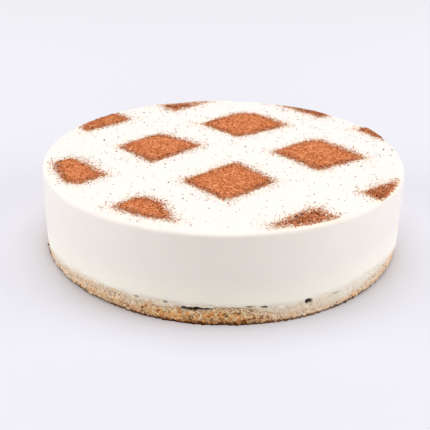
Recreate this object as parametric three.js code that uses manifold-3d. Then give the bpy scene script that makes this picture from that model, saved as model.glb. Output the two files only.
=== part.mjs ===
// A round tiramisu cake: a pressed crumb base, a thin soaked sponge, a deep layer of set cream and
// a stencilled pattern of cocoa squares on its flat top.
// Millimetres, +Z up. The origin is the centre of the underside, and the front faces -Y.
// A bearing is an angle round the cake from the front centre, growing towards +X.

import * as THREE from "three";
import { mergeVertices } from "three/addons/utils/BufferGeometryUtils.js";
import Module from "manifold-3d";

// The whole cake
const CAKE_DIAMETER = 240; // across the cream at its top edge
const CAKE_HEIGHT = 60; // from the underside to the cream's flat top
const LAYER_GAP = 0.4; // clearance between one layer and the next
const LAYER_FLAT_RADIUS = 108; // inside this radius the layers meet on level planes
const CREAM_SEGMENTS = 180; // facets round the smooth cream

// The crumb base
const BASE_DIAMETER = 235;
const BASE_HEIGHT = 7.2; // mean height of its upper edge
const BASE_FOOT_INSET = 0.8; // the lowest crumbs tuck in by this much
const CRUMB_SIZE = 2.4; // width of one crumb along the side
const CRUMB_ROWS = 4; // crumbs from the underside to the upper edge
const CRUMB_RELIEF = 0.8; // how far a crumb stands out of the mean surface, or is sunk in it
const CRUMB_SEED = 24;
const CRUMB_SEGMENTS = Math.round((Math.PI * BASE_DIAMETER) / CRUMB_SIZE); // the sponge's too

// The sponge
const SPONGE_DIAMETER = 236.6;
const SPONGE_TOP = 12.3; // mean height of its upper edge
const SPONGE_EDGE = 0.5; // its upper edge draws in by this much
const POCKET_DEPTH = 4; // how far a pocket reaches in from the sponge's side
const POCKET_SIDES = 16;

// The cream
const CREAM_LEAN = 0.7; // the side draws in by this much from its top to its lower lip
const CREAM_EDGE_RADIUS = 2.5; // rounding of the top edge
const CREAM_EDGE_STEPS = 5;
const LIP_HEIGHT = 1.2; // the lower lip rolls in over this height
const LIP_INSET = 1.2;

// The cocoa
const SQUARE_SIDE = 40.8; // side of one stencilled square
const SQUARE_PITCH = 77.5; // from one square's middle to the next, along a row
const STENCIL_ROWS = 4; // rows and columns of the stencil, whose four corners are blank
const STENCIL_TURN = -50; // degrees that the rows are turned from +X
const STENCIL_X = 9.3; // where the stencil's middle lay over the cake
const STENCIL_Y = 12.1;
const STENCIL_RADIUS = 121.5; // the stencil's round outline
const OUTLINE_SHIFT = 2.2; // its middle lies this far along the rows from the stencil's
const COCOA_DEPTH = 0.8;
const COCOA_SLOPE = 2; // width of the sloping edge of the powder
const COCOA_RIM_MARGIN = 0.1; // clearance to the rounded edge of the cream
const COCOA_ARC_SIDES = 96;

// How far some squares lie off their even places, along and across the rows
const SQUARE_SHIFTS = {
  r2_c4: [8, -2.6],
  r3_c1: [3, -4],
  r3_c2: [1.3, -1.5],
  r3_c4: [8, -5],
  r4_c2: [5.9, -2.9],
  r4_c3: [3.1, -0.7],
};

// The uneven edges of the layers, as waves round the cake: how many, how high, and the bearing of a crest
const BASE_WAVES = [
  { turns: 3, size: 0.7, crest: -11 },
  { turns: 4, size: 1.5, crest: -22 },
  { turns: 5, size: 1.4, crest: -21 },
  { turns: 6, size: 1.6, crest: 9 },
];
const SPONGE_WAVES = [
  { turns: 2, size: 1, crest: 6 },
  { turns: 4, size: 1.1, crest: -36 },
  { turns: 5, size: 1.1, crest: -25 },
  { turns: 6, size: 1.2, crest: 4 },
];

// Stretches where the crumbs climb higher up the side, from one bearing to another
const BASE_CLIMBS = [
  { from: -62, to: -31, rise: 1.6 },
  { from: -4, to: 14.5, rise: 3.3 },
  { from: 112, to: 141, rise: 2.4 },
  { from: 206, to: 228, rise: 2.8 },
];
const CLIMB_RUN = 8; // degrees over which a climb rises and falls

// Pockets in the side of the sponge that the cream didn't fill
const POCKETS = [
  { bearing: -16.4, height: 11.4, width: 3, tall: 1.2 },
  { bearing: -7.4, height: 10.2, width: 16.8, tall: 1.5 },
  { bearing: 12.2, height: 10.3, width: 3.6, tall: 1.4 },
  { bearing: 26.2, height: 9.7, width: 3.4, tall: 2.2 },
  { bearing: 104, height: 10.4, width: 9, tall: 1.4 },
  { bearing: 149, height: 10, width: 3.2, tall: 1.8 },
  { bearing: 197, height: 9.6, width: 12, tall: 1.5 },
  { bearing: 243, height: 9.8, width: 3.4, tall: 1.6 },
];

const CREAM = new THREE.MeshStandardMaterial({ color: 0xf6f1e8, roughness: 0.5, metalness: 0 });
const SPONGE = new THREE.MeshStandardMaterial({ color: 0xe3d6c0, roughness: 0.7, metalness: 0 });
const CRUMB = new THREE.MeshStandardMaterial({ color: 0xd4a86c, roughness: 0.9, metalness: 0 });
const COCOA = new THREE.MeshStandardMaterial({ color: 0xb4653a, roughness: 1, metalness: 0 });

const wasm = await Module();
wasm.setup();
const radians = THREE.MathUtils.degToRad;

// The same surface with its shared corners merged and nothing but positions left
function merged(geometry) {
  geometry.deleteAttribute("normal");
  geometry.deleteAttribute("uv");
  return mergeVertices(geometry);
}

function solidOf(geometry) {
  const closed = merged(geometry);
  const mesh = new wasm.Mesh({
    numProp: 3,
    vertProperties: new Float32Array(closed.getAttribute("position").array),
    triVerts: new Uint32Array(closed.index.array),
  });
  return new wasm.Manifold(mesh);
}

function geometryOf(solid) {
  const mesh = solid.getMesh();
  const geometry = new THREE.BufferGeometry();
  geometry.setAttribute("position", new THREE.BufferAttribute(mesh.vertProperties, 3));
  geometry.setIndex(new THREE.BufferAttribute(mesh.triVerts, 1));
  return geometry;
}

// The height of a layer's uneven upper edge at a bearing
function edgeHeight(mean, waves, bearing) {
  const rise = (wave) => wave.size * Math.cos(wave.turns * (bearing - radians(wave.crest)));
  return waves.reduce((height, wave) => height + rise(wave), mean);
}

// How much a climb of the crumbs adds at a bearing
function climbRise(climb, bearing) {
  const middle = radians(climb.from + climb.to) / 2;
  const half = (climb.to - climb.from) / 2;
  const away = THREE.MathUtils.radToDeg(Math.acos(Math.cos(bearing - middle)));
  const fall = THREE.MathUtils.smoothstep(away, half - CLIMB_RUN / 2, half + CLIMB_RUN / 2);
  return climb.rise * (1 - fall);
}

function baseEdge(bearing) {
  const height = edgeHeight(BASE_HEIGHT, BASE_WAVES, bearing);
  return BASE_CLIMBS.reduce((sum, climb) => sum + climbRise(climb, bearing), height);
}

const spongeEdge = (bearing) => edgeHeight(SPONGE_TOP, SPONGE_WAVES, bearing);

// A closed body turned about +Z, whose section changes round it. sectionAt(bearing) gives the section as
// [radius, height] pairs, from the axis at the underside, out, up and back to the axis on top.
function turnedBody(sectionAt, segments) {
  const outline = sectionAt(0).map(([radius, height]) => new THREE.Vector2(radius, height));
  const geometry = new THREE.LatheGeometry(outline, segments);
  const position = geometry.getAttribute("position");
  for (let column = 0; column < segments; column++) {
    const bearing = (2 * Math.PI * column) / segments;
    sectionAt(bearing).forEach(([radius, height], row) => {
      const x = radius * Math.sin(bearing);
      const y = -radius * Math.cos(bearing);
      position.setXYZ(column * outline.length + row, x, y, height);
      if (column === 0) {
        position.setXYZ(segments * outline.length + row, x, y, height);
      }
    });
  }
  return merged(geometry);
}

// The pressed crumbs: a level underside and top, with crumbs standing out of the side
function crumbBase() {
  THREE.MathUtils.seededRandom(CRUMB_SEED);
  const relief = () => CRUMB_RELIEF * (2 * THREE.MathUtils.seededRandom() - 1);
  const radius = BASE_DIAMETER / 2;
  const sectionAt = (bearing) => {
    const top = baseEdge(bearing);
    const section = [[0, 0], [radius - BASE_FOOT_INSET + relief() / 2, 0]];
    for (let row = 1; row < CRUMB_ROWS; row++) {
      section.push([radius + relief(), (top * row) / CRUMB_ROWS]);
    }
    section.push([radius, top], [LAYER_FLAT_RADIUS, BASE_HEIGHT], [0, BASE_HEIGHT]);
    return section;
  };
  return turnedBody(sectionAt, CRUMB_SEGMENTS);
}

// A flat oval plug that runs into the side of the sponge, for cutting one pocket
function pocketPlug(pocket) {
  const plug = new THREE.CylinderGeometry(1, 1, 2 * POCKET_DEPTH, POCKET_SIDES);
  plug.scale(pocket.width / 2, 1, pocket.tall / 2);
  plug.translate(0, -SPONGE_DIAMETER / 2, pocket.height);
  plug.rotateZ(radians(pocket.bearing));
  return solidOf(plug);
}

// The soaked sponge: a thin layer between two uneven edges, with pockets in its side
function spongeLayer() {
  const radius = SPONGE_DIAMETER / 2;
  const underside = BASE_HEIGHT + LAYER_GAP;
  const sectionAt = (bearing) => {
    const low = baseEdge(bearing) + LAYER_GAP;
    const high = spongeEdge(bearing);
    return [
      [0, underside],
      [LAYER_FLAT_RADIUS, underside],
      [BASE_DIAMETER / 2, low],
      [radius, (low + high) / 2],
      [radius - SPONGE_EDGE, high],
      [LAYER_FLAT_RADIUS, SPONGE_TOP],
      [0, SPONGE_TOP],
    ];
  };
  const whole = solidOf(turnedBody(sectionAt, CRUMB_SEGMENTS));
  return geometryOf(POCKETS.reduce((solid, pocket) => solid.subtract(pocketPlug(pocket)), whole));
}

// The set cream: a rolled lower lip, a nearly upright side, a rounded top edge and a flat top
function creamBody() {
  const radius = CAKE_DIAMETER / 2;
  const lipRadius = radius - CREAM_LEAN;
  const underside = SPONGE_TOP + LAYER_GAP;
  const edgeCentre = [radius - CREAM_EDGE_RADIUS, CAKE_HEIGHT - CREAM_EDGE_RADIUS];
  const topEdge = [];
  for (let step = 0; step <= CREAM_EDGE_STEPS; step++) {
    const turn = (step / CREAM_EDGE_STEPS) * (Math.PI / 2);
    const out = edgeCentre[0] + CREAM_EDGE_RADIUS * Math.cos(turn);
    topEdge.push([out, edgeCentre[1] + CREAM_EDGE_RADIUS * Math.sin(turn)]);
  }
  const sectionAt = (bearing) => {
    const low = spongeEdge(bearing) + LAYER_GAP;
    return [
      [0, underside],
      [LAYER_FLAT_RADIUS, underside],
      [lipRadius - LIP_INSET, low],
      [lipRadius - LIP_INSET / 4, low + LIP_HEIGHT / 4],
      [lipRadius, low + LIP_HEIGHT],
      ...topEdge,
      [0, CAKE_HEIGHT],
    ];
  };
  return turnedBody(sectionAt, CREAM_SEGMENTS);
}

// A low frustum with its base on the level z = 0, sides sloping in by the width of the powder's edge
function lowFrustum(radius, sides, x, y) {
  const slope = COCOA_SLOPE / Math.cos(Math.PI / sides);
  const frustum = new THREE.CylinderGeometry(radius - slope, radius, COCOA_DEPTH, sides);
  frustum.rotateX(Math.PI / 2);
  frustum.rotateZ(Math.PI / sides);
  frustum.translate(x, y, COCOA_DEPTH / 2);
  return solidOf(frustum);
}

// One cocoa square with its middle at (x, y) on the stencil, cut off by the stencil's outline and the rim
function cocoaSquare(x, y, cakeMiddle) {
  const rimRadius = CAKE_DIAMETER / 2 - CREAM_EDGE_RADIUS - COCOA_RIM_MARGIN;
  const square = lowFrustum(SQUARE_SIDE / Math.SQRT2, 4, 0, 0);
  const outline = lowFrustum(STENCIL_RADIUS, COCOA_ARC_SIDES, OUTLINE_SHIFT - x, -y);
  const rim = lowFrustum(rimRadius, COCOA_ARC_SIDES, cakeMiddle.x - x, cakeMiddle.y - y);
  return geometryOf(square.intersect(outline).intersect(rim));
}

// All the squares, in a group that lies on the cream as the stencil lay
function cocoaPattern() {
  const stencil = new THREE.Group();
  stencil.position.set(STENCIL_X, STENCIL_Y, CAKE_HEIGHT);
  stencil.rotation.z = radians(STENCIL_TURN);
  const cakeMiddle = new THREE.Vector2(-STENCIL_X, -STENCIL_Y);
  cakeMiddle.rotateAround(new THREE.Vector2(0, 0), -radians(STENCIL_TURN));
  const last = STENCIL_ROWS - 1;
  const isOuter = (index) => index === 0 || index === last;
  for (let row = 0; row <= last; row++) {
    for (let column = 0; column <= last; column++) {
      if (isOuter(row) && isOuter(column)) {
        continue;
      }
      const place = `r${row + 1}_c${column + 1}`;
      const [shiftX, shiftY] = SQUARE_SHIFTS[place] ?? [0, 0];
      const x = (column - last / 2) * SQUARE_PITCH + shiftX;
      const y = (row - last / 2) * SQUARE_PITCH + shiftY;
      const square = new THREE.Mesh(cocoaSquare(x, y, cakeMiddle), COCOA);
      square.name = `cocoa_square_${place}`;
      square.position.set(x, y, 0);
      stencil.add(square);
    }
  }
  return stencil;
}

function layer(name, geometry, material) {
  const mesh = new THREE.Mesh(geometry, material);
  mesh.name = name;
  return mesh;
}

const cake = new THREE.Group();
cake.name = "tiramisu_cake";
cake.add(layer("crumb_base", crumbBase(), CRUMB));
cake.add(layer("sponge_layer", spongeLayer(), SPONGE));
cake.add(layer("cream_body", creamBody(), CREAM));
cake.add(cocoaPattern());

export default cake;
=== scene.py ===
# Dresses a round tiramisu cake: pressed crumbs, soaked sponge, set cream and stencilled cocoa.
# Sizes are in millimetres unless a comment says otherwise. +Z is up, and the front faces -Y.
# A bearing is an angle round the cake from the front centre, growing towards +X. Values have it in degrees.
# Stretches have the degrees that each end takes, and then for each its two bearings and how much.
# LUMPS are the sizes of an uneven thing's lumps, with how much each size counts.
# A FADE is where a gradual change begins, and where it is complete.

import math

import bmesh
import bpy
import numpy as np
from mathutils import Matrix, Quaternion, Vector, kdtree


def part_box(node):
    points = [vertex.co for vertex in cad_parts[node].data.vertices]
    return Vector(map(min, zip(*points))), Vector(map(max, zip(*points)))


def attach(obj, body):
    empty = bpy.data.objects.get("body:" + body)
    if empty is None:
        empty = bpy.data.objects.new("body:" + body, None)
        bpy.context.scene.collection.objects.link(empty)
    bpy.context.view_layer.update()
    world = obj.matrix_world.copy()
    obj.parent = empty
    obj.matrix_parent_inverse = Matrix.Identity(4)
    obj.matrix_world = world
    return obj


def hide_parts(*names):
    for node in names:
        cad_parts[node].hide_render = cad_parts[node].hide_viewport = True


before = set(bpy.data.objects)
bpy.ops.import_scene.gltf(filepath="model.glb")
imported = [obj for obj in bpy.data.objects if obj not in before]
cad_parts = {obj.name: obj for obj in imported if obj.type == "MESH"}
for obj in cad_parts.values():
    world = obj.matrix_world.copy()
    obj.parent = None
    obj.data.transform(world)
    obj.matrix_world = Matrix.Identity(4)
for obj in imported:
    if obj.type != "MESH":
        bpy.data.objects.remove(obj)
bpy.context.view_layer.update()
MM = 0.001

# The whole cake, from the frame
CAKE_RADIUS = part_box("cream_body")[1].x / MM
CAKE_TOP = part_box("cream_body")[1].z / MM
LAYER_GAP = 0.05  # the layers cling to each other
LAYER_FLAT_RADIUS = 108  # inside this radius the layers meet on level planes
LAYER_INNER_RADIUS = 60  # a ring of points on those planes

# The uneven upper edges of two layers, as waves round the cake: how many, how high, bearing of a crest
BASE_HEIGHT = 7.2
BASE_WAVES = [(3, 0.7, -11), (4, 1.5, -22), (5, 1.4, -21), (6, 1.6, 9)]
SPONGE_TOP = 12.3
SPONGE_WAVES = [(2, 1.0, 6), (4, 1.1, -36), (5, 1.1, -25), (6, 1.2, 4)]

# Stretches of these edges
HEM_NOTCHES = 1.2, [(11.7, 13.2, 0.5), (24.7, 27, 1.1)]  # where the sponge shows higher up in the lip
BASE_CLIMBS = 3, [  # where the crumbs' edge lies higher or lower
    (-98, -74, 3.2), (-62, -31, 1.6), (-2.2, 10.8, 3.3),
    (14, 36, -0.6), (112, 141, 2.4), (206, 228, 2.8),
]
SEAM_WOBBLE = 0.35  # of the crumbs' edge
SEAM_LUMPS = [(5, 1), (1.9, 0.7)]
SPONGE_LEAST = 0.8  # the sponge is nowhere thinner at its side

# The cream
CREAM_COLUMNS = 720
CREAM_UNDER_RADII = (40, 80, LAYER_FLAT_RADIUS)  # rings of points on its underside
CREAM_LEAN = 0.7  # the side draws in by this much from its top to its lower lip
CREAM_EDGE = 2.6  # rounding of the top edge
CREAM_EDGE_ROWS = 14
CREAM_EDGE_SHARE = 0.99  # of the rounding, what powder follows down
CREAM_SIDE_ROWS = 30
CREAM_SIDE_POWER = 1.5  # above 1 these rows crowd towards the lip
CREAM_TOP_ROWS = 78
LIP_ROWS = 8
LIP_HEIGHT = 1.4
LIP_INSET = 0.4
LIP_WOBBLE = 0.25
LIP_LUMP = 7
HEM_REACH = 3.0  # the soaked tone of the sponge fades out in the cream over this height
WARM_REACH = 22  # and a faint warm painted bounce light over this one
HEM_SHADE = 0.55
HEM_LUMPS = [(9, 0.35), (2.5, 0.15)]
SIDE_RELIEF = 0.16  # gentle waves in the side, as a cake ring leaves them
SIDE_LUMP = 34
SIDE_LOW_FADE = (SPONGE_TOP + 2, SPONGE_TOP + 8)  # heights at which they set in from below
SIDE_HIGH_FADE = (CAKE_TOP, CAKE_TOP - 8)  # and from above
TOP_RELIEF = 0.1
TOP_LUMP = 26

# The sponge
SPONGE_RADIUS = 118.8
SPONGE_COLUMNS = 1440
SPONGE_ROWS = 28
SPONGE_FOOT = 0.9  # its lower edge draws in by this much
SPONGE_FOOT_POWER = 3  # above 1 ever more steeply
SPONGE_RELIEF = 0.22
SPONGE_LUMPS = [(5, 1), (1.4, 0.7)]
CREAMY_REACH = 2.6  # cream is smeared on it this far down from the hem
CREAMY_RAGGED = 0.8
CREAMY_LUMP = 3
CREAM_SMEARS = 14, [(34, 95, 0.75)]  # where cream is smeared over the whole side

# Pockets in the side of the sponge, with painted shade inside: bearing, height, width, how tall, and how
# dark and deep
POCKETS = [
    (-25, 12.4, 4.5, 1.0, 0.3),
    (-16.0, 12.7, 3.4, 1.3, 0.36),
    (-10.6, 11.2, 3.0, 0.8, 0.4),
    (-9.0, 10.0, 10.5, 2.4, 1.0),
    (-5.4, 10.5, 11.0, 1.9, 1.0),
    (8.5, 12.2, 5.5, 0.9, 0.45),
    (12.4, 11.5, 4.0, 2.1, 1.0),
    (26.0, 10.4, 4.3, 3.0, 1.0),
    (35.5, 10.6, 6.5, 1.1, 0.25),
    (104, 10.4, 9.0, 1.4, 1.0),
    (149, 10.0, 3.2, 1.8, 0.9),
    (197, 9.6, 12.0, 1.5, 1.0),
    (243, 9.8, 3.4, 1.6, 0.9),
]
POCKET_DEPTH = 4
POCKET_POWER = 2.2  # above 2 an oval grows fuller at its ends
POCKET_RAGGED = 0.09
POCKET_LUMP = 2.4
POCKET_FADE = (1.2, 0.75)  # its wall, in half widths from its middle
POCKET_SHADE = 1.6  # how many times darker its painted shade is than it is deep
POCKET_CLEAR = 0.05  # single crumbs lie only where it is less deep

# The pressed crumbs
BASE_RADIUS = 117.5
BASE_COLUMNS = 2400
BASE_ROWS = 32
SWELLS = 38, [(-88, -74, 1.4), (-26, 38, 1.0)]  # where the crumbs swell out
FOOT_SWELL = 1.7  # how much further the foot spreads there, in swells
FOOT_INSET = 1.2  # the foot draws in by this much
FOOT_RAGGED = 0.2
FOOT_LUMP = 3
FOOT_FADE = (2.4, 0.2)  # heights at which it draws in or spreads
SCATTER_TOP = SPONGE_TOP + 4
CRUMB_SPACING = 1.4  # between the crumbs' middles, before some are left out
CRUMB_MISSING = 0.3  # share of these, and of the flakes, that is left out
CRUMB_WARP = 0.4  # bends their outlines
CRUMB_WARP_LUMP = 1.6
CRUMB_SINK = 0.45  # the gaps between the crumbs lie this far inside the mean surface
CRUMB_RISE = 0.8  # and the highest crumbs stand this far out of the gaps
CRUMB_LEAST_RISE = 0.25  # and the lowest this share of that
CRUMB_ROUND = 0.7  # a crumb has its full height where the next is this much further away
CRUMB_TILT = 0.16
CRUMB_GRIT = 0.06
GRIT_LUMP = 0.7
FLAKE_SPACING = 1.0  # between the flakes that a crumb's face breaks into
FLAKE_RISE = 0.14
FLAKE_ROUND = 0.3  # a flake has all of that where the next is this much further away
FALLEN_FLAKES = 0.11  # share of the flakes that left a hole
HOLE_DEPTH = 0.6
HOLE_FADE = (0.05, 0.3)  # its wall, measured like that
HOLE_SEAM_FADE = (0.6, 1.4)  # and none lies nearer the crumbs' edge than this

# The shades of the pressed crumbs, from 0 to 1
CRUMB_TINT = (1.4, 0.9)  # shape of their spread from dark to pale
FLAKE_TINT = 0.35  # how far a flake may be off its crumb's tint
HEIGHT_TINT = 0.5  # how much paler they are at their edge than at the foot
PALE_TINT = 0.15  # and in the pale stretches
# Painted shade in the gaps and cracks between the crumbs
GAP_SHADE = 0.9
GAP_WIDTH = 0.3  # a gap is where the next crumb is less than this further away
CRACK_SHADE = 0.3
CRACK_WIDTH = 0.15
FOOT_WOBBLE = 0.4  # of the edge of the painted shadow at the foot
FOOT_DARK_FADE = (2.1, 0.9)  # heights at which a painted contact shadow darkens the foot
FOOT_DUSK_FADE = (5, 1.2)  # and a weaker painted shade sets in above it
FOOT_DUSK = 0.5
FOOT_DEEP_SHADE_FADE = (1.2, 0.3)  # and a near-black painted shadow at its very bottom
FOOT_DEEP_SHADE = 0.6
# How much of the dark of each a full smear of cream takes off
SMEARED_GAP = 0.3
SMEARED_HOLE = 0.1
SMEARED_FOOT = 0.5

# Cream on the crumbs, and the stretches where it has soaked into them
PALE_STRETCHES = 10, [(-68, -50, 0.4), (-68, -22, 0.95), (10, 88, 0.95), (48, 100, 0.8), (150, 190, 0.6)]
SMEAR_REACH = 0.4  # cream is smeared this far down from the crumbs' edge
SMEAR_CLIMB = 0.5  # and further by this share of a climb
SMEAR_PALE = 2  # and in the pale stretches
SMEAR_RAGGED = 0.7
SMEAR_LUMP = 4
SMEAR_FADE = (1.4, -0.6)  # its lower edge
SMEAR_SHADE = 0.4  # how strong it is there
SMEAR_PALE_SHADE = 0.5  # how much stronger in the pale stretches
PALE_SHADE = 0.4  # and how strong below it in these
SMEAR_SPREAD = (0.5, 1)  # a crumb takes up between these shares of it

# Single crumbs
LOOSE_CRUMBS = 1000
LOOSE_RADIUS = (0.35, 0.95)
LOOSE_FOOT = 1.2  # they lie above this height
LOOSE_ROOM = 0.8  # and this clear of it and of the pressed crumbs' edge, in radii
LOOSE_HEIGHTS = (1.2, 1.2)  # shape of their spread in height
LOOSE_OUT = (-0.2, 0.3)  # how far out of the surface their middles lie
LOOSE_SUNK = 0.4  # less this share of their radius
LOOSE_ROUGHNESS = 0.22
LOOSE_FLOOR = 0.02  # nothing of them lies lower
LOOSE_TINT = (2, 1.6)  # shape of their spread from dark to pale
LOOSE_DARK_FADE = (1.4, 0.4)  # heights at which a painted shadow at the foot darkens them
LOOSE_DARK = 0.5
LOOSE_SMEAR_SPREAD = (0.4, 1)
HIGH_SHARE = 0.25  # of the single crumbs, those that stick to the sponge
HIGH_SIZE = 0.6  # these are smaller
HIGH_REACH = 2.6  # and lie up to this far above the pressed crumbs
HIGH_SMEAR = 0.7
HIGH_GATHERED = 0.6  # share of them that lies about this bearing
HIGH_MIDDLE = -30
HIGH_SPREAD = 16

# The cocoa
SQUARE_SIDE = 40.8
SQUARE_PITCH = 77.5
STENCIL_ROWS = 4  # and as many columns; its four corners are blank
STENCIL_TURN = math.radians(-50)
STENCIL_MIDDLE = np.array([9.3, 12.1])
STENCIL_RADIUS = 121.5
OUTLINE_SHIFT = np.array([2.2, 0])  # from the stencil's middle to that of its round outline
OUTLINE_BULGES = {"r1_c2": 2.5}  # how much further out it lies on this patch
# How far some squares, and the squares' corners, lie off their even places in the stencil's axes
SQUARE_SHIFTS = {
    "r2_c4": (8, -2.6),
    "r3_c1": (3, -4),
    "r3_c2": (1.3, -1.5),
    "r3_c4": (8, -5),
    "r4_c2": (5.9, -2.9),
    "r4_c3": (3.1, -0.7),
}
CORNER_SHIFTS = {
    "r1_c2": [(4, 0), (2.2, -0.4), (0, 0), (2, 19.6)],
    "r1_c3": [(9, 4.7), (4.3, -2.2), (-21.7, 2.5), (3.2, 33.8)],
    "r2_c1": [(0, 0), (0, -5.5), (-0.2, -4.9), (1.5, 0.5)],
    "r2_c2": [(4, 0), (1, -5), (-4, 4), (0, 1)],
    "r2_c3": [(1.9, -2.6), (-1.8, 2.4), (-2.4, 0.5), (0.8, -0.2)],
    "r2_c4": [(0, -2.5), (-3.1, -5), (-2.4, -2.7), (-0.4, -2)],
    "r3_c1": [(-0.7, -1.7), (0, 0), (-1, -2.5), (1.7, 2.1)],
    "r3_c2": [(2, -2), (0.3, 1.5), (0.9, 2.1), (-2.4, 1.3)],
    "r3_c3": [(-0.7, 0), (-2, -0.9), (3.8, -0.9), (0.3, 0.9)],
    "r3_c4": [(-1.2, 1), (0.8, 0.9), (0.8, 0.9), (0, 0)],
    "r4_c2": [(-2.5, -4), (0, 0), (0, 0), (-0.8, 0.8)],
    "r4_c3": [(0, 0), (0, 0), (0, 0), (0, -0.5)],
}
CORNER_SOFTNESS = 1.5
BLUNT_TIPS = {"r2_c2": 1.5, "r2_c3": 1, "r3_c2": 7, "r3_c3": 3}  # how much of their back corner these lack
COCOA_STEP = 0.42
COCOA_DEPTH = 0.75
COCOA_SLOPE = 3.6  # width of the sloping edge of the powder
COCOA_REACH = 4.5  # how far past its outline a patch of powder is modelled
COCOA_MARGIN = 2  # and how much wider than that its grid is
COCOA_RIM = 120.5  # the powder thins out here, on the rounded edge of the cream
COCOA_FAR_RIM = 119.2  # and none lies further out than this
RIM_GAPS = {"r2_c1": 1.2, "r3_c1": 6, "r4_c2": 2}  # how much further in it ends on these
COCOA_SINK = 0.3  # where there is no powder, its sheet lies this far under the cream
SHOWN_SINK = 0.7  # share of that at which it is left out
EDGE_LUMPS = [(6, 0.5), (1.4, 0.6)]  # of the outline
FACE_LUMPS = [(4, 0.06), (1.1, 0.06)]  # of the depth
COCOA_GRAIN = 0.1  # roughness of the powder's face
EDGE_GRAIN = 0.3  # and of its sloping edge, which breaks up
EDGE_MOST = 0.4  # the most powder there, in depths
FACE_MOST = 0.9  # and how much more on the face
SPARSE = {"r2_c4": 0.38, "r3_c1": 0.44, "r3_c4": 0.2, "r4_c2": 0.12, "r4_c3": 0.36}  # depth that these lack
SPARSE_LUMPS = [(1.3, 0.45), (7, 0.15)]
SPARSE_GRAIN = 0.3
MOUNDS = {"r4_c3": 1.0}  # extra depth at the rim, where powder has gathered on this patch
MOUND_FADE = (110, 118)  # distances from the cake's middle
MOUND_EDGE_FADE = (-1, 2)  # and inwards from the outline
THIN_FADE = (0.05, 0.5)  # depths over which the powder stops looking thin
FLECK_LUMPS = [(1.1, 1), (11, 0.6)]
FLECK_FADE = (0.3, 1.2)
FLECK_REACH = 6  # how far in from the edge the powder has dark flecks
FLECKED_THROUGH = ("r2_c4", "r3_c1", "r3_c4", "r4_c2", "r4_c3")  # these have them all over
FLECK_SHADE = 0.65  # how dark they are
FLECK_SHADES = {"r1_c2": 0.3, "r2_c4": 0.5, "r3_c1": 0.3, "r3_c4": 0.45}  # and on these patches
RIM_SHADES = {"r2_c1": 0.12, "r3_c1": 0.15, "r4_c2": 0.5, "r4_c3": 0.6}  # and between the flecks of these
RIM_SHADE_FADE = (-1.5, 0.5)
FRONT_STEP = np.array([1.4, -1.4])  # width of a painted shade line along front edges, in the stencil's axes
FRONT_FADE = (-0.6, 0.4)
FRONT_SHADE = 0.45  # and how dark it is
DUST_WIDTH = 3.2  # over which the fine dust on the cream falls to about a third

# Loose grains of cocoa: how many for each square millimetre, how big,
# and the range of their tints from 0, nearly black, to 1, pale brown
GRAIN_KINDS = [
    (0.35, 0.4, (0.3, 1.0)),  # on the patches
    (0.45, 0.35, (0.0, 0.4)),  # along the inside of their edges
    (2.6, 0.25, (0.45, 1.0)),  # along the outside
    (0.055, 0.3, (0.0, 0.25)),  # further out
]
STRAY_GRAINS = 110  # like the last kind, all over the cream
# Widths over which they fall to about a third away from an edge
BORDER_WIDTH = 3.2
HALO_WIDTH = 2.0
FAR_WIDTH = 9.0
FAR_REACH = 26
HALO_DRIFT = np.array([-0.6, 2.4])  # the way that the powder drifted, in the stencil's axes
DRIFT_STEP = 0.5  # drifted grains count as this much further out
HALO_START = -1  # from here outwards grains belong to the halo
GRAIN_SPREAD = 0.3
GRAIN_ROUGHNESS = 0.25
GRAIN_LIFT = 0.4  # how far a grain's middle lies above the cream, in radii
POWDER_LIFT = 0.9  # and on a patch, in depths of powder
LUMP_SQUASH = (0.7, 1.2)  # sizes of a grain or crumb along its axes, in radii

# The camera and its picture
CAMERA_PLACE = Vector((0, -635.2, 309.9))
CAMERA_AIM = Vector((-5.1, 0, 16.7))
CAMERA_ROLL = math.radians(0.6)
CAMERA_LENS = 85
CAMERA_SENSOR = 36

# The studio, in metres. A softbox has a name, place, size, strength in watts and colour
SURROUND_COLOUR = (1.03, 0.99, 0.875, 1)
SURROUND_STRENGTH = 0.55
SOFTBOXES = [
    ("overhead", (0, 0.15, 1.4), 1.2, 10.65, (0.888, 0.873, 1)),
    ("left", (-1.3, -0.2, 0.6), 0.9, 7.6, (0.87, 0.905, 1.04)),
    ("right", (1.3, -0.2, 0.6), 0.9, 8.2, (0.87, 0.905, 1.04)),
]
FLOOR_HALF = 4  # half the floor's width
FLOOR_DISC = 0.8  # from the cake's middle to where the floor is palest


def uneven(points, size, seed, waves=28):
    """Smooth, seeded unevenness at the rows of points, spread about 0 by 1, in lumps about size wide."""
    draw = np.random.default_rng(seed)
    dimensions = points.shape[1]
    spread = 2 * math.pi / size / math.sqrt(dimensions)
    directions = draw.normal(0, spread, (dimensions, waves))
    phases = draw.uniform(0, 2 * math.pi, waves)
    return np.cos(points @ directions + phases).sum(axis=1) * math.sqrt(2 / waves)


def lumpy(points, sizes, seed):
    """Unevenness in lumps of several sizes, given with how much each size counts."""
    return sum(share * uneven(points, size, seed + index) for index, (size, share) in enumerate(sizes))


def smooth_step(low, high, values):
    share = np.clip((values - low) / (high - low), 0, 1)
    return share * share * (3 - 2 * share)


def edge_height(mean, waves, bearings):
    """The height of a layer's uneven upper edge at each bearing, in radians."""
    height = np.full_like(bearings, mean)
    for turns, size, crest in waves:
        height += size * np.cos(turns * (bearings - math.radians(crest)))
    return height


def sponge_edge(bearings):
    return edge_height(SPONGE_TOP, SPONGE_WAVES, bearings) + stretches(bearings, HEM_NOTCHES)


def stretches(bearings, some):
    """The sum of some stretches round the cake at each bearing, each with a gradual start and end."""
    run, parts = some
    total = np.zeros_like(bearings)
    for start, end, size in parts:
        half = (end - start) / 2
        away = np.degrees(np.arccos(np.cos(bearings - math.radians(start + end) / 2)))
        total += size * smooth_step(half + run / 2, half - run / 2, away)
    return total


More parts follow.
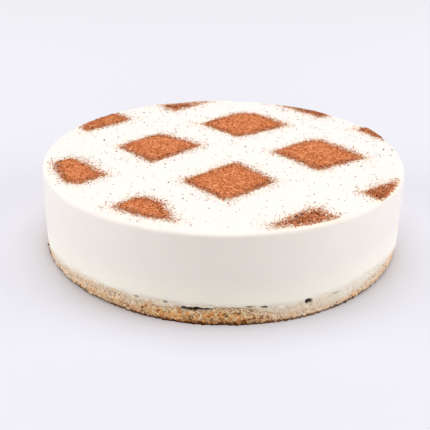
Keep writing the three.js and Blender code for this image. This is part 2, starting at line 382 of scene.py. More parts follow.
def base_edge(bearings):
    ring = around(bearings, BASE_RADIUS, 0 * bearings)
    wobble = lumpy(ring, SEAM_LUMPS, seed=44)
    height = edge_height(BASE_HEIGHT, BASE_WAVES, bearings) + stretches(bearings, BASE_CLIMBS)
    height += SEAM_WOBBLE * wobble.reshape(bearings.shape)
    return np.minimum(height, sponge_edge(bearings) - SPONGE_LEAST)


def around(bearings, radii, heights):
    """Points at these bearings, radii and heights, as rows of x, y and z."""
    across = radii * np.sin(bearings)
    back = -radii * np.cos(bearings)
    return np.stack([across, back, heights], axis=-1).reshape(-1, 3)


def column_bearings(columns):
    return np.arange(columns) * 2 * math.pi / columns


def turned_faces(columns, rows):
    """Faces of a closed body turned about +Z, with its two poles as the last two points."""
    column, row = np.meshgrid(np.arange(columns), np.arange(rows - 1), indexing="ij")
    here = column * rows + row
    beside = (column + 1) % columns * rows + row
    quads = np.stack([here, beside, beside + 1, here + 1], axis=-1).reshape(-1, 4)
    first = np.arange(columns) * rows
    second = np.roll(first, -1)
    below = np.full(columns, columns * rows)
    underside = np.stack([below, second, first], axis=-1)
    top = np.stack([below + 1, first + rows - 1, second + rows - 1], axis=-1)
    return quads.tolist() + underside.tolist() + top.tolist()


def with_poles(points, low, high):
    return np.vstack([points, [0, 0, low], [0, 0, high]])


def add_object(name, data):
    added = bpy.data.objects.new(name, data)
    bpy.context.scene.collection.objects.link(added)
    return added


def add_piece(name, points, faces, surface, stands_for, values):
    """Adds one piece of the cake.
    values holds a number for each point, under the names that the piece's material reads."""
    mesh = bpy.data.meshes.new(name)
    mesh.from_pydata((points * MM).tolist(), [], faces)
    mesh.shade_smooth()
    for key, numbers in values.items():
        attribute = mesh.attributes.new(key, "FLOAT", "POINT")
        attribute.data.foreach_set("value", np.asarray(numbers, np.float32))
    mesh.materials.append(surface)
    piece = add_object(name, mesh)
    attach(piece, "root")
    if stands_for:
        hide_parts(*stands_for)


class Surface:
    """A node material, with short calls for the nodes that feed its Principled shader."""

    MIX_COLOURS = (6, 7)  # the sockets of a Mix node that are for colours
    MIX_RESULT = 2

    def __init__(self, name):
        self.material = bpy.data.materials.new(name)
        self.material.use_nodes = True
        self.tree = self.material.node_tree
        self.shader = self.tree.nodes["Principled BSDF"]
        self.place = self.add("TexCoord").outputs["Object"]

    def add(self, kind, **settings):
        node = self.tree.nodes.new("ShaderNode" + kind)
        for key, value in settings.items():
            setattr(node, key, value)
        return node

    def feed(self, socket, value):
        """Links a node's output to a socket, or sets a plain value on it."""
        if isinstance(value, bpy.types.NodeSocket):
            self.tree.links.new(value, socket)
        else:
            socket.default_value = value

    def set(self, values):
        """Feeds the shader's own sockets, by their names."""
        for key, value in values.items():
            self.feed(self.shader.inputs[key], value)

    def stretched(self, scale):
        node = self.add("Mapping")
        self.feed(node.inputs["Vector"], self.place)
        node.inputs["Scale"].default_value = scale
        return node.outputs[0]

    def noise(self, size, detail=2.0, rough=0.5, place=None):
        """Noise from 0 to 1 in lumps about size wide."""
        node = self.add("TexNoise")
        self.feed(node.inputs["Vector"], place or self.place)
        node.inputs["Scale"].default_value = 1 / (size * MM)
        node.inputs["Detail"].default_value = detail
        node.inputs["Roughness"].default_value = rough
        return node.outputs[0]

    def value(self, name):
        return self.add("Attribute", attribute_name=name).outputs["Fac"]

    def range(self, share, low, high, to_low=0.0, to_high=1.0):
        node = self.add("MapRange")
        limits = {"Value": share, "From Min": low, "From Max": high, "To Min": to_low, "To Max": to_high}
        for key, value in limits.items():
            self.feed(node.inputs[key], value)
        return node.outputs[0]

    def ramp(self, share, *colours):
        """Colours spread evenly over a share from 0 to 1."""
        node = self.add("ValToRGB")
        self.feed(node.inputs["Fac"], share)
        stops = node.color_ramp.elements
        while len(stops) < len(colours):
            stops.new(0.5)
        for index, colour in enumerate(colours):
            stops[index].position = index / (len(colours) - 1)
            stops[index].color = (*colour, 1)
        return node.outputs["Color"]

    def blend(self, share, first, second):
        node = self.add("Mix", data_type="RGBA")
        self.feed(node.inputs[0], share)
        for socket, colour in zip(self.MIX_COLOURS, (first, second)):
            self.feed(node.inputs[socket], (*colour, 1) if isinstance(colour, tuple) else colour)
        return node.outputs[self.MIX_RESULT]

    def bump(self, height, depth):
        node = self.add("Bump")
        node.inputs["Distance"].default_value = depth * MM
        self.feed(node.inputs["Height"], height)
        self.set({"Normal": node.outputs[0]})


def cream_surface():
    """Set cream: warm white and satin, with light let in a little, faint mottling, fine pores and painted
    warm bounce light low on its side.
    """
    surface = Surface("cream")
    mottling = surface.noise(22, detail=3)
    pores = surface.noise(0.9)
    white = surface.ramp(mottling, (0.89, 0.84, 0.77), (0.92, 0.87, 0.81))
    # painted warm bounce light low on the side
    warm = surface.blend(surface.value("warm"), white, (1.0, 0.935, 0.82))
    dusted = surface.blend(surface.value("dust"), warm, (0.90, 0.82, 0.64))
    surface.set({
        "Base Color": surface.blend(surface.value("hem"), dusted, (0.89, 0.80, 0.675)),
        "Roughness": surface.range(pores, 0.2, 0.8, 0.42, 0.58),
        "Subsurface Weight": 0.35,
        "Subsurface Radius": (1.0, 0.7, 0.5),
        "Subsurface Scale": 0.002,
        "Specular IOR Level": 0.35,
    })
    surface.bump(pores, 0.05)
    return surface.material


def sponge_surface():
    """Soaked sponge under a smear of cream, with near-black painted shade in its pockets."""
    surface = Surface("sponge")
    smears = surface.noise(2.6, detail=5, rough=0.75, place=surface.stretched((1, 1, 1.8)))
    holes = surface.noise(0.8)
    shades = ((0.62, 0.45, 0.29), (0.85, 0.71, 0.54), (0.95, 0.87, 0.74))
    pale = surface.ramp(surface.range(smears, 0.25, 0.75), *shades)
    creamy = surface.blend(surface.value("creamy"), pale, (0.91, 0.84, 0.73))
    # near-black painted shade inside the pockets
    dark = surface.ramp(holes, (0.012, 0.007, 0.005), (0.06, 0.035, 0.024))
    surface.set({
        "Base Color": surface.blend(surface.value("deep_shade"), creamy, dark),
        "Roughness": surface.range(holes, 0.2, 0.8, 0.5, 0.75),
        "Subsurface Weight": 0.2,
        "Subsurface Radius": (1.0, 0.7, 0.5),
        "Subsurface Scale": 0.002,
    })
    surface.bump(holes, 0.12)
    return surface.material


def crumb_surface():
    """Baked crumbs, each its own shade of gold, with painted shade in gaps, holes, pockets and at the foot,
    pale where cream is on them.
    """
    surface = Surface("crumb")
    grit = surface.noise(0.5, detail=3, rough=0.7)
    shades = ((0.82, 0.32, 0.09), (1.0, 0.51, 0.195), (1.0, 0.63, 0.30), (1.0, 0.80, 0.50))
    baked = surface.ramp(surface.value("tint"), *shades)
    toasted = surface.blend(surface.range(grit, 0.45, 0.8, 0.0, 0.12), baked, (0.62, 0.27, 0.085))
    smeared = surface.blend(surface.value("smear"), toasted, (1.0, 0.85, 0.68))
    # painted shade in gaps, cracks and holes, and painted shadow at the foot
    shaded = surface.blend(surface.value("gap"), smeared, (0.16, 0.045, 0.010))
    # near-black painted shade in the pockets and at the very foot
    deep_shaded = surface.blend(surface.value("deep_shade"), shaded, (0.03, 0.016, 0.01))
    surface.set({"Base Color": deep_shaded, "Roughness": 0.9, "Specular IOR Level": 0.1})
    surface.bump(grit, 0.12)
    return surface.material


def cocoa_surface():
    """Dry cocoa powder: warm brown and finely grained, paler where it lies thin, with dark flecks and
    painted shade along front edges.
    """
    surface = Surface("cocoa")
    grain = surface.noise(1.2, detail=3, rough=0.7)
    streaks = surface.noise(2.4, detail=3, rough=0.65)
    clouds = surface.noise(9, detail=3)
    mixed = surface.blend(0.45, grain, streaks)
    shades = ((0.42, 0.097, 0.026), (0.61, 0.198, 0.072), (0.82, 0.345, 0.165))
    powder = surface.ramp(surface.range(mixed, 0.43, 0.57), *shades)
    cloudy = surface.blend(surface.range(clouds, 0.5, 0.7, 0.0, 0.35), powder, (0.70, 0.25, 0.085))
    cloudy = surface.blend(surface.range(clouds, 0.5, 0.3, 0.0, 0.35), cloudy, (0.60, 0.155, 0.065))
    thinned_out = surface.blend(surface.value("thin"), cloudy, (0.67, 0.29, 0.165))
    surface.set({
        "Base Color": surface.blend(surface.value("darkening"), thinned_out, (0.15, 0.053, 0.029)),
        "Roughness": 1.0,
        "Specular IOR Level": 0.05,
    })
    surface.bump(grain, 0.12)
    return surface.material


def grain_surface():
    """Single grains of cocoa, from nearly black through red brown to the powder's own shade."""
    surface = Surface("cocoa_grain")
    darkening = surface.noise(0.3, detail=1)
    shades = ((0.08, 0.028, 0.013), (0.28, 0.075, 0.024), (0.62, 0.18, 0.043), (0.92, 0.37, 0.10))
    tint = surface.ramp(surface.value("tint"), *shades)
    surface.set({
        "Base Color": surface.blend(surface.range(darkening, 0.3, 0.7, 0.0, 0.3), tint, (0.12, 0.04, 0.018)),
        "Roughness": 0.95,
        "Specular IOR Level": 0.1,
    })
    return surface.material


def floor_surface():
    """A pale, matt floor, a little greyer under the lights so that it looks even."""
    surface = Surface("pale_floor")
    disc = surface.add("TexGradient", gradient_type="SPHERICAL")
    surface.feed(disc.inputs["Vector"], surface.stretched((1 / FLOOR_DISC,) * 3))
    near = surface.range(disc.outputs[1], 0.05, 0.8)
    surface.set({
        "Base Color": surface.ramp(near, (0.86, 0.865, 0.905), (0.735, 0.74, 0.775)),
        "Roughness": 0.9,
        "Specular IOR Level": 0.1,
    })
    return surface.material


def top_relief(places):
    return TOP_RELIEF * uneven(places, TOP_LUMP, seed=31)


def cream_height(places):
    """The height of the cream's top and rounded edge over these x, y places."""
    out = np.hypot(places[:, 0], places[:, 1]) - (CAKE_RADIUS - CREAM_EDGE)
    out = np.clip(out, 0, CREAM_EDGE_SHARE * CREAM_EDGE)
    rounding = CREAM_EDGE - np.sqrt(CREAM_EDGE**2 - out**2)
    return CAKE_TOP - rounding + top_relief(places)


def cream_section(bearings):
    """Radii and heights of the rows of the cream's section at each bearing, from underside to top."""
    lip_radius = CAKE_RADIUS - CREAM_LEAN
    wobble = LIP_WOBBLE * uneven(around(bearings, CAKE_RADIUS, 0 * bearings), LIP_LUMP, seed=32)
    low = sponge_edge(bearings) + LAYER_GAP + wobble
    lip_top = low + LIP_HEIGHT
    shoulder = CAKE_TOP - CREAM_EDGE
    top_radius = CAKE_RADIUS - CREAM_EDGE
    rows = [(radius, SPONGE_TOP + LAYER_GAP) for radius in CREAM_UNDER_RADII]
    for turn in np.linspace(0, math.pi / 2, LIP_ROWS):
        radius = lip_radius - LIP_INSET * (1 - math.sin(turn))
        rows.append((radius, low + LIP_HEIGHT * (1 - math.cos(turn))))
    for share in np.linspace(0, 1, CREAM_SIDE_ROWS)[1:-1] ** CREAM_SIDE_POWER:
        rows.append((lip_radius + CREAM_LEAN * share, lip_top + (shoulder - lip_top) * share))
    for turn in np.linspace(0, math.pi / 2, CREAM_EDGE_ROWS):
        rows.append((top_radius + CREAM_EDGE * math.cos(turn), shoulder + CREAM_EDGE * math.sin(turn)))
    for share in np.linspace(1, 0, CREAM_TOP_ROWS)[1:-1]:
        rows.append((top_radius * share, CAKE_TOP))
    return [np.stack([number + 0 * bearings for number in numbers], axis=1) for numbers in zip(*rows)]


def dust_share(points, squares):
    """How much fine cocoa dust lies on the cream's top at these points: most along the squares."""
    along, across = stencil_axes()
    shifted = points[:, :2] - STENCIL_MIDDLE
    places = np.stack([shifted @ along, shifted @ across], axis=-1)
    away = np.min([outline_distance(name, middle, places) for name, middle in squares.items()], axis=0)
    return np.exp(-np.maximum(away, 0) / DUST_WIDTH)


def build_cream(surface, squares):
    bearings = column_bearings(CREAM_COLUMNS)
    radii, heights = cream_section(bearings)
    points = around(bearings[:, None], radii, heights)
    on_side = smooth_step(*SIDE_LOW_FADE, points[:, 2]) * smooth_step(*SIDE_HIGH_FADE, points[:, 2])
    above_hem = (heights - sponge_edge(bearings)[:, None]).ravel()
    patchy = np.clip(HEM_SHADE + lumpy(points, HEM_LUMPS, seed=34), 0, 1)
    hem = smooth_step(HEM_REACH, 0, above_hem) * patchy
    # painted warm bounce light, fading out upwards from the hem
    warm = smooth_step(WARM_REACH, 0, above_hem)
    on_top = smooth_step(CAKE_TOP - CREAM_EDGE, CAKE_TOP, points[:, 2])
    values = {"hem": hem, "warm": warm, "dust": on_top * dust_share(points, squares)}
    values = {key: np.append(numbers, [0, 0]) for key, numbers in values.items()}
    swell = 1 + SIDE_RELIEF * on_side * uneven(points, SIDE_LUMP, seed=33) / CAKE_RADIUS
    points[:, :2] *= swell[:, None]
    points[:, 2] += on_top * top_relief(points[:, :2])
    points = with_poles(points, SPONGE_TOP + LAYER_GAP, CAKE_TOP + top_relief(np.zeros((1, 2)))[0])
    faces = turned_faces(CREAM_COLUMNS, radii.shape[1])
    add_piece("cream", points, faces, surface, ["cream_body"], values)


def pocket_depths(bearings, heights):
    """How deep the pockets reach into the side at each bearing and height, from 0 to 1."""
    places = np.stack([bearings * SPONGE_RADIUS, heights], axis=-1)
    ragged = POCKET_RAGGED * uneven(places, POCKET_LUMP, seed=41)
    depth = np.zeros_like(heights)
    for bearing, height, width, tall, dark in POCKETS:
        turn = (bearings - math.radians(bearing) + math.pi) % (2 * math.pi) - math.pi
        across = np.abs(turn * SPONGE_RADIUS / (width / 2))
        along = np.abs((heights - height) / (tall / 2))
        reach = (across**POCKET_POWER + along**POCKET_POWER) ** (1 / POCKET_POWER)
        depth = np.maximum(depth, dark * smooth_step(*POCKET_FADE, reach + ragged))
    return depth


def build_sponge(surface):
    bearings = column_bearings(SPONGE_COLUMNS)[:, None]
    low = base_edge(bearings) + LAYER_GAP
    high = sponge_edge(bearings)
    share = np.linspace(0, 1, SPONGE_ROWS)
    heights = low + (high - low) * share
    turns = (bearings + 0 * heights).ravel()
    radii = SPONGE_RADIUS - SPONGE_FOOT * (1 - share) ** SPONGE_FOOT_POWER + 0 * heights
    side = around(bearings, radii, heights)
    relief = SPONGE_RELIEF * lumpy(side, SPONGE_LUMPS, seed=42)
    depth = pocket_depths(turns, heights.ravel())
    below_hem = (high - heights).ravel()
    creamy = smooth_step(CREAMY_REACH, 0, below_hem + CREAMY_RAGGED * uneven(side, CREAMY_LUMP, seed=46))
    creamy = np.maximum(creamy, stretches(turns, CREAM_SMEARS))
    fade = np.sqrt(np.sin(math.pi * share))
    radii = radii + relief.reshape(heights.shape) * fade - POCKET_DEPTH * depth.reshape(heights.shape) ** 2
    # painted shade inside the pockets
    values = {"deep_shade": np.minimum(POCKET_SHADE * depth, 1), "creamy": creamy}
    ends = (BASE_HEIGHT + LAYER_GAP, SPONGE_TOP)
    add_layer("sponge", radii, heights, ends, surface, ["sponge_layer"], values)


def add_layer(name, radii, heights, ends, surface, stands_for, values):
    """Adds a layer from the rows of its side, closed by level planes at the two heights in ends.
    values holds a number for each point of the side, and the planes have 0."""
    columns = len(heights)
    level = np.ones((columns, 1))
    under, over = ends
    flat = [LAYER_INNER_RADIUS * level, LAYER_FLAT_RADIUS * level]
    planes = ((0, 0), (2, 2))
    padded = {key: np.pad(numbers.reshape(heights.shape), planes) for key, numbers in values.items()}
    values = {key: np.append(rows, [0, 0]) for key, rows in padded.items()}
    radii = np.hstack([*flat, radii, *flat[::-1]])
    heights = np.hstack([under * level, under * level, heights, over * level, over * level])
    points = with_poles(around(column_bearings(columns)[:, None], radii, heights), under, over)
    faces = turned_faces(columns, radii.shape[1])
    add_piece(name, points, faces, surface, stands_for, values)


def scattered_cells(draw, spacing):
    """Middles of crumbs or flakes on the base's side: an uneven scatter, of which a share is missing."""
    columns = round(2 * math.pi * BASE_RADIUS / spacing)
    rows = math.ceil(SCATTER_TOP / spacing)
    column, row = np.meshgrid(np.arange(columns), np.arange(rows), indexing="ij")
    turns = column + 0.5 * (row % 2) + draw.uniform(-0.5, 0.5, column.shape)
    heights = (row + draw.uniform(-0.5, 0.5, row.shape)) * spacing
    out = BASE_RADIUS + draw.uniform(-0.5, 0.5, row.shape) * spacing
    cells = around(turns * 2 * math.pi / columns, out, heights)
    return cells[draw.random(len(cells)) > CRUMB_MISSING]


def nearest_cells(points, cells):
    """For each point the index of its nearest cell, and how much further away the next one is."""
    tree = kdtree.KDTree(len(cells))
    for index, cell in enumerate(cells):
        tree.insert(cell, index)
    tree.balance()
    nearest = np.zeros(len(points), int)
    gap = np.zeros(len(points))
    for index, point in enumerate(points):
        (_, cell, near), (_, _, far) = tree.find_n(point, 2)
        nearest[index] = cell
        gap[index] = far - near
    return nearest, gap


def smear_share(points):
    """How much cream is smeared on the crumbs: most near their edge and in the pale stretches."""
    bearings = np.arctan2(points[:, 0], -points[:, 1])
    below_edge = base_edge(bearings) - points[:, 2]
    pale = stretches(bearings, PALE_STRETCHES)
    reach = SMEAR_REACH + SMEAR_CLIMB * stretches(bearings, BASE_CLIMBS) + SMEAR_PALE * pale
    reach += SMEAR_RAGGED * uneven(points, SMEAR_LUMP, seed=51)
    at_edge = smooth_step(*SMEAR_FADE, below_edge - reach)
    return np.clip((SMEAR_SHADE + SMEAR_PALE_SHADE * pale) * at_edge + PALE_SHADE * pale, 0, 1)


def build_crumb_base(surface):
    """The pressed crumbs, as one closed body whose side is crumbs with gaps between them."""
    draw = np.random.default_rng(seed=24)
    bearings = column_bearings(BASE_COLUMNS)[:, None]
    heights = base_edge(bearings) * np.linspace(0, 1, BASE_ROWS)
    turns = (bearings + 0 * heights).ravel()
    side = around(bearings, BASE_RADIUS + 0 * heights, heights)
    bends = [uneven(side, CRUMB_WARP_LUMP, seed=53 + axis) for axis in range(3)]
    warped = side + CRUMB_WARP * np.stack(bends, axis=-1)
    cells = scattered_cells(draw, CRUMB_SPACING)
    crumb, gap = nearest_cells(warped, cells)
    flakes = scattered_cells(draw, FLAKE_SPACING)
    flake, crack = nearest_cells(warped, flakes)
    local = side - cells[crumb]
    across = local[:, 0] * np.cos(turns) + local[:, 1] * np.sin(turns)
    tilt = draw.normal(0, CRUMB_TILT, (2, len(cells)))[:, crumb]
    rise = draw.uniform(CRUMB_LEAST_RISE, 1, len(cells))[crumb]
    hole = (draw.random(len(flakes)) < FALLEN_FLAKES)[flake] * smooth_step(*HOLE_FADE, crack)
    hole *= smooth_step(*HOLE_SEAM_FADE, (heights[:, -1:] - heights).ravel())
    dome = np.sqrt(np.clip(gap / CRUMB_ROUND, 0, 1))
    radii = BASE_RADIUS - CRUMB_SINK + dome * (CRUMB_RISE * rise + tilt[0] * across + tilt[1] * local[:, 2])
    radii += FLAKE_RISE * draw.uniform(-1, 1, len(flakes))[flake] * np.clip(crack / FLAKE_ROUND, 0, 1)
    radii += CRUMB_GRIT * uneven(side, GRIT_LUMP, seed=52) - HOLE_DEPTH * hole
    swell = stretches(turns, SWELLS)
    foot = FOOT_SWELL * swell - FOOT_INSET + FOOT_RAGGED * uneven(side, FOOT_LUMP, seed=57)
    radii += swell + foot * smooth_step(*FOOT_FADE, side[:, 2])
    pocket = pocket_depths(turns, side[:, 2])
    radii -= POCKET_DEPTH * pocket**2
    tint = draw.beta(*CRUMB_TINT, len(cells))[crumb]
    tint += draw.uniform(-FLAKE_TINT, FLAKE_TINT, len(flakes))[flake]
    tint += HEIGHT_TINT * ((heights / heights[:, -1:]).ravel() - 0.5)
    tint += PALE_TINT * stretches(turns, PALE_STRETCHES)
    smear = smear_share(side)
    in_gap = GAP_SHADE * smooth_step(GAP_WIDTH, 0, gap)
    in_crack = CRACK_SHADE * smooth_step(CRACK_WIDTH, 0, crack)
    over_foot = side[:, 2] + FOOT_WOBBLE * uneven(side, FOOT_LUMP, seed=56)
    # painted shade in gaps, cracks and holes, a painted contact shadow at the foot and a weaker painted
    # shade above it
    dark = np.maximum.reduce([
        np.maximum(in_gap, in_crack) * (1 - SMEARED_GAP * smear),
        hole * (1 - SMEARED_HOLE * smear),
        smooth_step(*FOOT_DARK_FADE, over_foot) * (1 - SMEARED_FOOT * smear),
        FOOT_DUSK * smooth_step(*FOOT_DUSK_FADE, over_foot) * (1 - smear),
    ])
    # near-black painted shade in the pockets and a painted shadow at the very foot
    deep_shade = np.minimum(POCKET_SHADE * pocket, 1)
    deep_shade = np.maximum(deep_shade, FOOT_DEEP_SHADE * smooth_step(*FOOT_DEEP_SHADE_FADE, over_foot))
    smear *= draw.uniform(*SMEAR_SPREAD, len(cells))[crumb]
    values = {"tint": np.clip(tint, 0, 1), "gap": dark, "smear": smear, "deep_shade": deep_shade}
    radii = radii.reshape(heights.shape)
    ends = (0, BASE_HEIGHT)
    add_layer("pressed_crumbs", radii, heights, ends, surface, ["crumb_base"], values)


def ball(subdivisions):
    """Points and faces of a ball of radius 1."""
    shape = bmesh.new()
    bmesh.ops.create_icosphere(shape, subdivisions=subdivisions, radius=1)
    points = np.array([vertex.co[:] for vertex in shape.verts])
    faces = np.array([[vertex.index for vertex in face.verts] for face in shape.faces])
    shape.free()
    return points, faces


def octahedron():
    """Points and faces of an octahedron of radius 1."""
    points = np.vstack([np.eye(3), -np.eye(3)])
    upper = [(0, 1, 2), (1, 3, 2), (3, 4, 2), (4, 0, 2)]
    lower = [(1, 0, 5), (3, 1, 5), (4, 3, 5), (0, 4, 5)]
    return points, np.array(upper + lower)


def lumps(draw, middles, radii, shape, roughness):
    """Uneven lumps of a shape at these middles as points and faces, and the lump that each point is on."""
    points, faces = shape
    count = len(middles)
    dents = 1 + draw.uniform(-roughness, roughness, (count, len(points), 1))
    squash = draw.uniform(*LUMP_SQUASH, (count, 1, 3))
    spread = points[None] * dents * squash * radii[:, None, None]
    turn = draw.uniform(0, 2 * math.pi, (count, 1))
    across = spread[..., 0] * np.cos(turn) - spread[..., 1] * np.sin(turn)
    along = spread[..., 0] * np.sin(turn) + spread[..., 1] * np.cos(turn)
    spots = middles[:, None, :] + np.stack([across, along, spread[..., 2]], axis=-1)
    numbers = faces[None] + len(points) * np.arange(count)[:, None, None]
    return spots.reshape(-1, 3), numbers.reshape(-1, 3), np.repeat(np.arange(count), len(points))


def build_loose_crumbs(surface):
    """Single crumbs that stand out of the base's side, and a few that stick to the sponge."""
    draw = np.random.default_rng(seed=25)
    bearings = draw.uniform(0, 2 * math.pi, LOOSE_CRUMBS)
    radii = draw.uniform(*LOOSE_RADIUS, LOOSE_CRUMBS)
    high = draw.random(LOOSE_CRUMBS) < HIGH_SHARE
    gathered = np.radians(draw.normal(HIGH_MIDDLE, HIGH_SPREAD, LOOSE_CRUMBS))
    bearings = np.where(high & (draw.random(LOOSE_CRUMBS) < HIGH_GATHERED), gathered, bearings)
    radii = np.where(high, HIGH_SIZE * radii, radii)
    edge = base_edge(bearings)
    lowest = LOOSE_FOOT + LOOSE_ROOM * radii
    highest = edge - LOOSE_ROOM * radii
    heights = lowest + (highest - lowest) * draw.beta(*LOOSE_HEIGHTS, LOOSE_CRUMBS)
    room = np.minimum(HIGH_REACH, sponge_edge(bearings) - edge)
    heights = np.where(high, edge + room * draw.random(LOOSE_CRUMBS), heights)
    out = np.where(high, SPONGE_RADIUS, BASE_RADIUS + stretches(bearings, SWELLS))
    out += draw.uniform(*LOOSE_OUT, LOOSE_CRUMBS) - LOOSE_SUNK * radii
    kept = pocket_depths(bearings, heights) < POCKET_CLEAR
    middles = around(bearings, out, heights)[kept]
    points, faces, crumb = lumps(draw, middles, radii[kept], ball(2), LOOSE_ROUGHNESS)
    points[:, 2] = np.maximum(points[:, 2], LOOSE_FLOOR)
    smear = np.maximum(smear_share(points), HIGH_SMEAR * high[kept][crumb])
    values = {
        "tint": draw.beta(*LOOSE_TINT, len(middles))[crumb],
        # painted shadow at the foot on the lowest crumbs
        "gap": LOOSE_DARK * smooth_step(*LOOSE_DARK_FADE, points[:, 2]),
        "smear": smear * draw.uniform(*LOOSE_SMEAR_SPREAD, len(middles))[crumb],
    }
    add_piece("loose_crumbs", points, faces.tolist(), surface, (), values)


def stencil_axes():
    """The stencil's own two directions on the cake's top."""
    along = np.array([math.cos(STENCIL_TURN), math.sin(STENCIL_TURN)])
    return along, np.array([-along[1], along[0]])


def square_places():
    """The name and middle of each stencilled square, in the stencil's own axes."""
    last = STENCIL_ROWS - 1
    places = {}
    for row in range(STENCIL_ROWS):
        for column in range(STENCIL_ROWS):
            if row in (0, last) and column in (0, last):
                continue
            name = f"r{row + 1}_c{column + 1}"
            middle = (np.array([column, row]) - last / 2) * SQUARE_PITCH
            places[name] = middle + SQUARE_SHIFTS.get(name, (0, 0))
    return places


def on_cake(places):
    """Places in the stencil's axes as x, y on the cake."""
    along, across = stencil_axes()
    return STENCIL_MIDDLE + places[:, :1] * along + places[:, 1:] * across


def outline_distance(name, middle, places):
    """How far places, in the stencil's axes, lie outside a square's outline. Inside it is negative."""
    half = SQUARE_SIDE / 2
    corners = np.array([(-half, -half), (-half, half), (half, half), (half, -half)])
    corners += CORNER_SHIFTS[name]
    corners += middle
    sides = []
    for start, end in zip(corners, np.roll(corners, -1, axis=0)):
        run = (end - start) / np.linalg.norm(end - start)
        sides.append((places - start) @ np.array([-run[1], run[0]]))
    round_outline = STENCIL_RADIUS + OUTLINE_BULGES.get(name, 0)
    sides.append(np.linalg.norm(places - OUTLINE_SHIFT, axis=1) - round_outline)
    tip = corners[1] - middle
    reach = np.linalg.norm(tip)
    sides.append((places - middle) @ (tip / reach) - reach + BLUNT_TIPS.get(name, 0))
    cake_places = on_cake(places)
    sides.append(np.hypot(cake_places[:, 0], cake_places[:, 1]) - COCOA_RIM + RIM_GAPS.get(name, 0))
    return CORNER_SOFTNESS * np.log(np.exp(np.array(sides) / CORNER_SOFTNESS).sum(axis=0))


def cell_corners(grid):
    """What a grid holds at the four corners of each of its cells."""
    return np.stack([grid[:-1, :-1], grid[1:, :-1], grid[1:, 1:], grid[:-1, 1:]], axis=-1)


def grid_sheet(keep):
    """Faces of a closed sheet over the kept cells of a grid: its top, its underside and its walls.
    The points are the grid's, first those of the top and then those below."""
    shape = np.add(keep.shape, 1)
    below = shape.prod()
    corner = cell_corners(np.arange(below).reshape(shape))
    top = corner[keep]
    under = top[:, ::-1] + below
    padded = np.pad(keep, 1)
    walls = []
    beyond = (padded[1:-1, :-2], padded[2:, 1:-1], padded[1:-1, 2:], padded[:-2, 1:-1])
    for side, neighbour in enumerate(beyond):
        open_cells = corner[keep & ~neighbour]
        start = open_cells[:, side]
        end = open_cells[:, (side + 1) % 4]
        walls.append(np.stack([end, start, start + below, end + below], axis=-1))
    return np.vstack([top, under, *walls])


def only_used(points, faces, values):
    """Drops the points that no face uses."""
    used, faces = np.unique(faces, return_inverse=True)
    faces = faces.reshape(-1, 4)
    return points[used], faces.tolist(), {key: numbers[used] for key, numbers in values.items()}


def fleck_and_edge_shade(name, middle, places, inside, seed):
    """How dark a patch of cocoa is at places that lie this far inside its outline, with painted shade along
    front edges.
    """
    gathered = lumpy(places, FLECK_LUMPS, seed)
    darkening = FLECK_SHADES.get(name, FLECK_SHADE) * smooth_step(*FLECK_FADE, gathered)
    if name not in FLECKED_THROUGH:
        # painted shade along the front edges
        past_front = outline_distance(name, middle, places + FRONT_STEP)
        darkening *= smooth_step(FLECK_REACH, 0, inside)
        darkening = np.maximum(darkening, FRONT_SHADE * smooth_step(*FRONT_FADE, past_front))
    return np.maximum(darkening, RIM_SHADES.get(name, 0) * smooth_step(*RIM_SHADE_FADE, gathered))


def build_cocoa(name, middle, surface, seed):
    """One patch of dusted cocoa: a low sheet of powder with a broken edge, sunk in the cream outside it."""
    draw = np.random.default_rng(seed)
    reach = SQUARE_SIDE / 2 + COCOA_REACH + COCOA_MARGIN
    line = np.arange(-reach, reach, COCOA_STEP)
    places = middle + np.stack(np.meshgrid(line, line, indexing="ij"), axis=-1).reshape(-1, 2)
    inside = -outline_distance(name, middle, places)
    ragged = inside + lumpy(places, EDGE_LUMPS, seed)
    powder = COCOA_DEPTH * np.clip(ragged / COCOA_SLOPE, -1, 1)
    powder += lumpy(places, FACE_LUMPS, seed + 2)
    on_edge = smooth_step(2 * COCOA_SLOPE, 0, np.abs(inside))
    powder += draw.normal(0, 1, len(places)) * (COCOA_GRAIN + (EDGE_GRAIN - COCOA_GRAIN) * on_edge)
    lack = 1 + lumpy(places, SPARSE_LUMPS, seed + 4)
    lack += draw.normal(0, SPARSE_GRAIN, len(places))
    powder -= SPARSE.get(name, 0) * np.maximum(lack, 0)
    most = COCOA_DEPTH * (EDGE_MOST + FACE_MOST * smooth_step(0, COCOA_SLOPE, inside))
    powder = np.clip(powder, -COCOA_SINK, most)
    cake_places = on_cake(places)
    out = np.hypot(cake_places[:, 0], cake_places[:, 1])
    mound = smooth_step(*MOUND_FADE, out) * smooth_step(*MOUND_EDGE_FADE, inside)
    powder += MOUNDS.get(name, 0) * mound
    powder[(out > COCOA_FAR_RIM) | (inside < -COCOA_REACH)] = -COCOA_SINK
    ground = cream_height(cake_places)
    shown = cell_corners(powder.reshape(len(line), -1)).max(axis=-1) > -SHOWN_SINK * COCOA_SINK
    top = np.column_stack([cake_places, ground + powder])
    under = np.column_stack([cake_places, ground - 2 * COCOA_SINK])
    darkening = fleck_and_edge_shade(name, middle, places, inside, seed + 6)
    thin = 1 - smooth_step(*THIN_FADE, powder)
    values = {"thin": np.tile(thin, 2), "darkening": np.tile(darkening, 2)}
    points, faces, values = only_used(np.vstack([top, under]), grid_sheet(shown), values)
    add_piece(f"cocoa_{name}", points, faces, surface, [f"cocoa_square_{name}"], values)


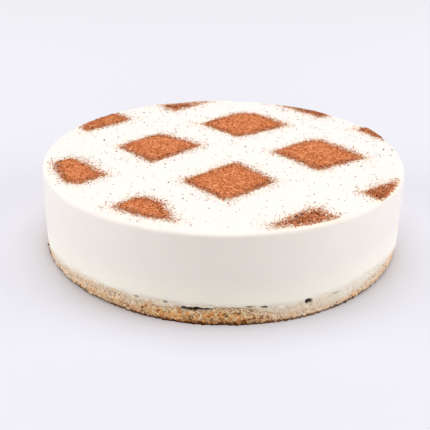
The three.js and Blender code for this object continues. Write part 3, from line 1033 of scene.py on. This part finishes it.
def grain_places(draw, name, middle):
    """Places in the stencil's axes of the grains on one square, along its edges and further out."""
    reach = SQUARE_SIDE / 2 + FAR_REACH
    border_width = SQUARE_SIDE if name in FLECKED_THROUGH else BORDER_WIDTH
    groups = []
    for kind, (density, _, _) in enumerate(GRAIN_KINDS):
        tries = round(density * (2 * reach) ** 2)
        places = middle + draw.uniform(-reach, reach, (tries, 2))
        outside = outline_distance(name, middle, places)
        drifted = outline_distance(name, middle, places - HALO_DRIFT)
        away = np.minimum(outside, drifted + DRIFT_STEP)
        beside = outside > HALO_START
        chosen = (
            ~beside,
            ~beside & thinned(draw, -outside, border_width),
            beside & thinned(draw, away, HALO_WIDTH),
            beside & thinned(draw, away, FAR_WIDTH),
        )
        groups.append(places[chosen[kind]])
    return groups


def thinned(draw, away, width):
    """Which of some grains are there, where they thin out away from an edge."""
    return draw.random(len(away)) < np.exp(-np.maximum(away, 0) / width)


def build_grains(squares, surface):
    """Single grains of cocoa on the squares, round them and strewn over the cream."""
    draw = np.random.default_rng(seed=61)
    groups = [grain_places(draw, name, middle) for name, middle in squares.items()]
    face, border, halo, far = (on_cake(np.vstack(kind)) for kind in zip(*groups))
    stray_radius = CAKE_RADIUS * np.sqrt(draw.random(STRAY_GRAINS))
    stray_turn = draw.uniform(0, 2 * math.pi, STRAY_GRAINS)
    strays = np.stack([stray_radius * np.cos(stray_turn), stray_radius * np.sin(stray_turn)], axis=-1)
    spots = (face, border, halo, far, strays)
    kinds = (*GRAIN_KINDS, GRAIN_KINDS[-1])
    places = np.vstack(spots)
    radii = np.concatenate([np.full(len(some), radius) for some, (_, radius, _) in zip(spots, kinds)])
    radii *= np.exp(draw.normal(0, GRAIN_SPREAD, len(places)))
    tint = np.concatenate([draw.uniform(*tints, len(some)) for some, (_, _, tints) in zip(spots, kinds)])
    on_powder = np.arange(len(places)) < len(face) + len(border)
    lift = np.where(on_powder, POWDER_LIFT * COCOA_DEPTH, GRAIN_LIFT * radii)
    middles = np.column_stack([places, cream_height(places) + lift])
    kept = np.hypot(places[:, 0], places[:, 1]) < CAKE_RADIUS - CREAM_EDGE
    points, faces, grain = lumps(draw, middles[kept], radii[kept], octahedron(), GRAIN_ROUGHNESS)
    add_piece("cocoa_grains", points, faces.tolist(), surface, (), {"tint": tint[kept][grain]})


def build_cake():
    squares = square_places()
    build_cream(cream_surface(), squares)
    build_sponge(sponge_surface())
    crumb = crumb_surface()
    build_crumb_base(crumb)
    build_loose_crumbs(crumb)
    cocoa = cocoa_surface()
    for index, (name, middle) in enumerate(squares.items()):
        build_cocoa(name, middle, cocoa, seed=100 + 10 * index)
    build_grains(squares, grain_surface())


def add_camera():
    lens = bpy.data.cameras.new("camera")
    lens.lens = CAMERA_LENS
    lens.sensor_width = CAMERA_SENSOR
    camera = add_object("camera", lens)
    camera.location = CAMERA_PLACE * MM
    turn = (CAMERA_AIM - CAMERA_PLACE).to_track_quat("-Z", "Y")
    camera.rotation_mode = "QUATERNION"
    camera.rotation_quaternion = turn @ Quaternion((0, 0, 1), CAMERA_ROLL)
    bpy.context.scene.camera = camera


def add_softbox(name, place, size, watts, colour):
    """A square soft light that faces the cake."""
    lamp = bpy.data.lights.new(name, "AREA")
    lamp.size = size
    lamp.energy = watts
    lamp.color = colour
    softbox = add_object(name, lamp)
    softbox.location = place
    softbox.rotation_euler = (-Vector(place)).to_track_quat("-Z", "Y").to_euler()


def add_studio():
    """A pale floor, an even pale surround and softboxes above and at both sides."""
    scene = bpy.context.scene
    scene.view_settings.view_transform = "Standard"
    scene.world = bpy.data.worlds.new("studio")
    scene.world.use_nodes = True
    surround = scene.world.node_tree.nodes["Background"]
    surround.inputs["Color"].default_value = SURROUND_COLOUR
    surround.inputs["Strength"].default_value = SURROUND_STRENGTH
    for softbox in SOFTBOXES:
        add_softbox(*softbox)
    corners = FLOOR_HALF * np.array([(-1, -1, 0), (1, -1, 0), (1, 1, 0), (-1, 1, 0)])
    mesh = bpy.data.meshes.new("floor")
    mesh.from_pydata(corners.tolist(), [], [(0, 1, 2, 3)])
    mesh.materials.append(floor_surface())
    floor = add_object("floor", mesh)


build_cake()
add_camera()
add_studio()
